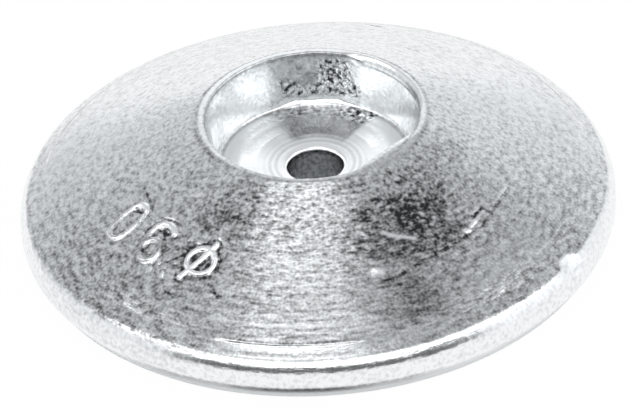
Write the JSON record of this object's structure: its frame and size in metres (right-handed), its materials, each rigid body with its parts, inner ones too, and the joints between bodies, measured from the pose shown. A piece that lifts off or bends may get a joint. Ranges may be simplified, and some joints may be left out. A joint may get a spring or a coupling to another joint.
{
  "type": "sacrificial anode",
  "caption": "Round sacrificial anode: a low cone with a rounded rim, a pocket for a bolt head in its middle and a through hole.",
  "frame": {"origin": "centre of the flat back face, on the axis of the bolt hole", "axes": "+Z along the axis, out of the pocket, away from the hull; +X to the right and -Y to the front, where the size mark is left of the front"},
  "size_m": [0.09, 0.09, 0.021],
  "materials": {
    "cast_zinc": "dull as-cast metal with turned streaks"
  },
  "bodies": {
    "root": {"anode_disc": "cast_zinc"}
  },
  "joints": []
}
